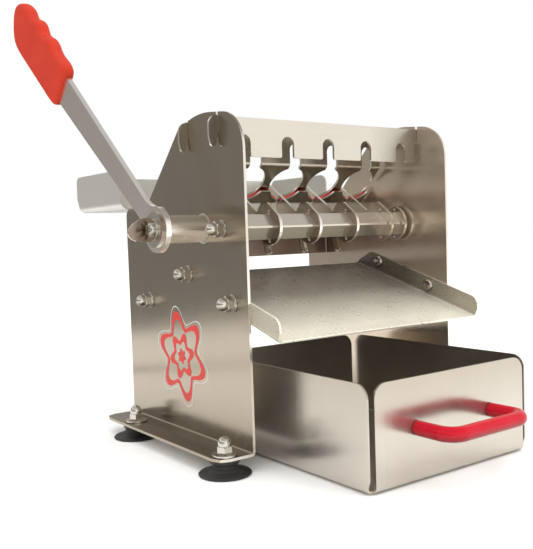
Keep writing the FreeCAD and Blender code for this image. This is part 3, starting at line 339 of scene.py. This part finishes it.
# --------------------------------------------------------- surface details --
def band(bm, inner, outer, x, cy, cz, n=180):
    """Flat closed band on the left plate between two outlines r(angle)."""
    rows = []
    for k in range(n):
        t = 2 * math.pi * k / n
        rows.append([bm.verts.new(mm(x, cy + f(t) * math.cos(t), cz + f(t) * math.sin(t))) for f in (inner, outer)])
    for k in range(n):
        (a, b_), (c, d) = rows[k], rows[(k + 1) % n]
        bm.faces.new((a, c, d, b_))


def petals(base, wave, n=6, turn=0.3):
    return lambda t: base + wave * math.cos(n * (t - turn))


# a generic rosette in the sticker's place: red bands, clear film with a pale rim
DY, DZ = 38.0, 70.0
bm = bmesh.new()
band(bm, petals(24.5, 4.6), petals(29.5, 6.2), -102.08, DY, DZ)
band(bm, petals(10.5, 1.6, 6, 0.82), petals(15.5, 3.4, 6, 0.82), -102.08, DY, DZ)
band(bm, lambda t: 0.4, petals(5.2, 1.0), -102.08, DY, DZ)
rosette = mesh_object("decal_rosette", bm, MAT["print"])
bm = bmesh.new()
band(bm, petals(32.6, 6.6), petals(33.3, 6.7), -102.05, DY, DZ)
film = mesh_object("decal_film_rim", bm, MAT["film"])
for o in (rosette, film):
    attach(o, "frame")

# weld beads that hold the arms' hubs and the end discs on the square tube
bm = bmesh.new()
faces = [(40.0 * k - 1.25, (92, 268)) for k in (-2, -1, 0, 1, 2)] + [(94.4, (100, 262))]
for x, angles in faces:
    for a_ in angles:
        c = mm(x, 12.0 * math.cos(math.radians(a_)), 169.0 + 12.0 * math.sin(math.radians(a_)))
        part = bmesh.ops.create_uvsphere(bm, u_segments=16, v_segments=10, radius=0.0011)
        for v in part["verts"]:
            v.co.x *= 0.6
            v.co *= 1.0 + 0.10 * math.sin(5000 * v.co.y + a_)
            v.co += c
beads = mesh_object("weld_beads", bm, MAT["bolt"], True)
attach(beads, "rotor")


# ---------------------------------------------- floor, camera, light, world --
m, nt, b = new_mat("pale_floor")
n = noise(nt, coords(nt), 3.0, 2.0)
nt.links.new(ramp(nt, n, [(0.3, (0.915, 0.913, 0.908)), (0.7, (0.93, 0.928, 0.922))]), b.inputs["Base Color"])
b.inputs["Roughness"].default_value = 0.7
b.inputs["Specular IOR Level"].default_value = 0.0


def sheet(name, x0, x1, y0, y1, z):
    bm = bmesh.new()
    vs = [bm.verts.new((x, y, z)) for x, y in ((x0, y0), (x1, y0), (x1, y1), (x0, y1))]
    bm.faces.new(vs)
    ob = mesh_object(name, bm, m)
    return ob


# the near sheet shows in the steel; the sweep beyond it does not, so that the
# plates pick up the darker room above the table's far edge
sheet("studio_floor", -0.80, 1.7, -2.2, 0.72, -0.0004)
far_floor = sheet("studio_sweep", -9.0, 9.0, -9.0, 9.0, -0.0012)
far_floor.visible_glossy = False

# a dark seam of the table, seen only as the thin line low on the left plate
bm = bmesh.new()
sx, sy = Vector((0.853, 0.522, 0)), Vector((-0.522, 0.853, 0))
mid = mm(-278.7, 350.6, 0.0)
bm.faces.new([bm.verts.new(mid + sx * u + sy * v + Vector((0, 0, -0.0002))) for u, v in ((-0.5, -0.014), (0.5, -0.014), (0.5, 0.014), (-0.5, 0.014))])
m2, nt, b = new_mat("table_seam")
n = noise(nt, coords(nt), 30.0, 2.0)
nt.links.new(ramp(nt, n, [(0.3, (0.07, 0.06, 0.05)), (0.7, (0.10, 0.09, 0.08))]), b.inputs["Base Color"])
b.inputs["Roughness"].default_value = 0.8
seam = mesh_object("table_seam", bm, m2)
seam.visible_camera = False
seam.visible_diffuse = False
seam.visible_shadow = False

A, E, ROLL = math.radians(-35.92), math.radians(3.09), math.radians(-1.87)
back = Vector((math.sin(A) * math.cos(E), -math.cos(A) * math.cos(E), math.sin(E)))
right = (-back).cross(Vector((0, 0, 1))).normalized()
up = right.cross(-back)
R = math.cos(ROLL) * right + math.sin(ROLL) * up
U = -math.sin(ROLL) * right + math.cos(ROLL) * up
cam = bpy.data.objects.new("photo_camera", bpy.data.cameras.new("photo_camera"))
bpy.context.scene.collection.objects.link(cam)
cam.data.sensor_fit = "AUTO"
cam.data.sensor_width = 36.0
cam.data.lens = 779.43 * 36.0 / 549.0
cam.data.clip_start, cam.data.clip_end = 0.02, 40.0
rot = Matrix((R, U, back)).transposed().to_4x4()
cam.matrix_world = Matrix.Translation(mm(-402.46, -493.21, 164.61)) @ rot
bpy.context.scene.camera = cam


def area(name, loc, target, size, power, colour=(1, 1, 1)):
    l = bpy.data.lights.new(name, "AREA")
    l.shape = "RECTANGLE"
    l.size, l.size_y = size
    l.energy = power
    l.color = colour
    o = bpy.data.objects.new(name, l)
    bpy.context.scene.collection.objects.link(o)
    o.location = loc
    o.rotation_mode = "QUATERNION"
    o.rotation_quaternion = (Vector(target) - Vector(loc)).to_track_quat("-Z", "Y")
    return o


for o in (area("soft_top", (0.15, -0.25, 1.9), (0, 0, 0.1), (1.8, 1.8), 14.0, (1.0, 0.985, 0.96)),
          area("soft_front_right", (1.3, -1.6, 1.1), (0.05, -0.1, 0.12), (1.1, 1.1), 9.0, (1.0, 0.985, 0.965)),
          area("soft_front_left", (-1.7, -1.3, 1.2), (0, 0, 0.15), (0.9, 0.9), 5.0, (1.0, 0.97, 0.93))):
    o.visible_glossy = False

world = bpy.data.worlds.new("studio")
bpy.context.scene.world = world
world.use_nodes = True
wt = world.node_tree
wt.nodes.clear()
wo = wt.nodes.new("ShaderNodeOutputWorld")
bg = wt.nodes.new("ShaderNodeBackground")
wt.links.new(bg.outputs[0], wo.inputs[0])
ray = coords(wt, "Generated")
sep = wt.nodes.new("ShaderNodeSeparateXYZ")
wt.links.new(ray, sep.inputs[0])
height = remap(wt, sep.outputs["Z"], 0.0, 1.0, -1.0, 1.0)


def sky(stops):
    return ramp(wt, height, [((z + 1) / 2, c) for z, c in stops])


def grey(v, warm=0.06):
    return (v, v * (1 - 0.5 * warm), v * (1 - warm))


# back left: a dim room with one bright panel higher up; front right: bright
dim = sky([(-1.0, grey(0.30)), (0.05, grey(0.34)), (0.34, grey(0.36)), (0.44, grey(0.90)), (0.62, grey(0.95)), (0.72, grey(0.42)), (1.0, grey(0.50))])
lit = sky([(-1.0, grey(0.85)), (-0.05, grey(0.95)), (0.10, grey(1.08)), (0.45, grey(1.00)), (0.70, grey(0.60)), (1.0, grey(0.50))])
side = maths(wt, "SUBTRACT", sep.outputs["X"], sep.outputs["Y"])
gloss = mix_rgb(wt, dim, lit, remap(wt, side, 0.0, 1.0, -0.25, 0.75))
soft = sky([(-1.0, (0.9, 0.9, 0.9)), (0.0, (1.15, 1.14, 1.12)), (1.0, (1.35, 1.345, 1.33))])
lp = wt.nodes.new("ShaderNodeLightPath")
seen = mix_rgb(wt, soft, gloss, lp.outputs["Is Glossy Ray"])
wt.links.new(mix_rgb(wt, seen, (1.0, 1.0, 1.0), lp.outputs["Is Camera Ray"]), bg.inputs["Color"])
bg.inputs["Strength"].default_value = 1.0
try:
    bpy.context.scene.view_settings.view_transform = "Standard"
except TypeError:
    pass
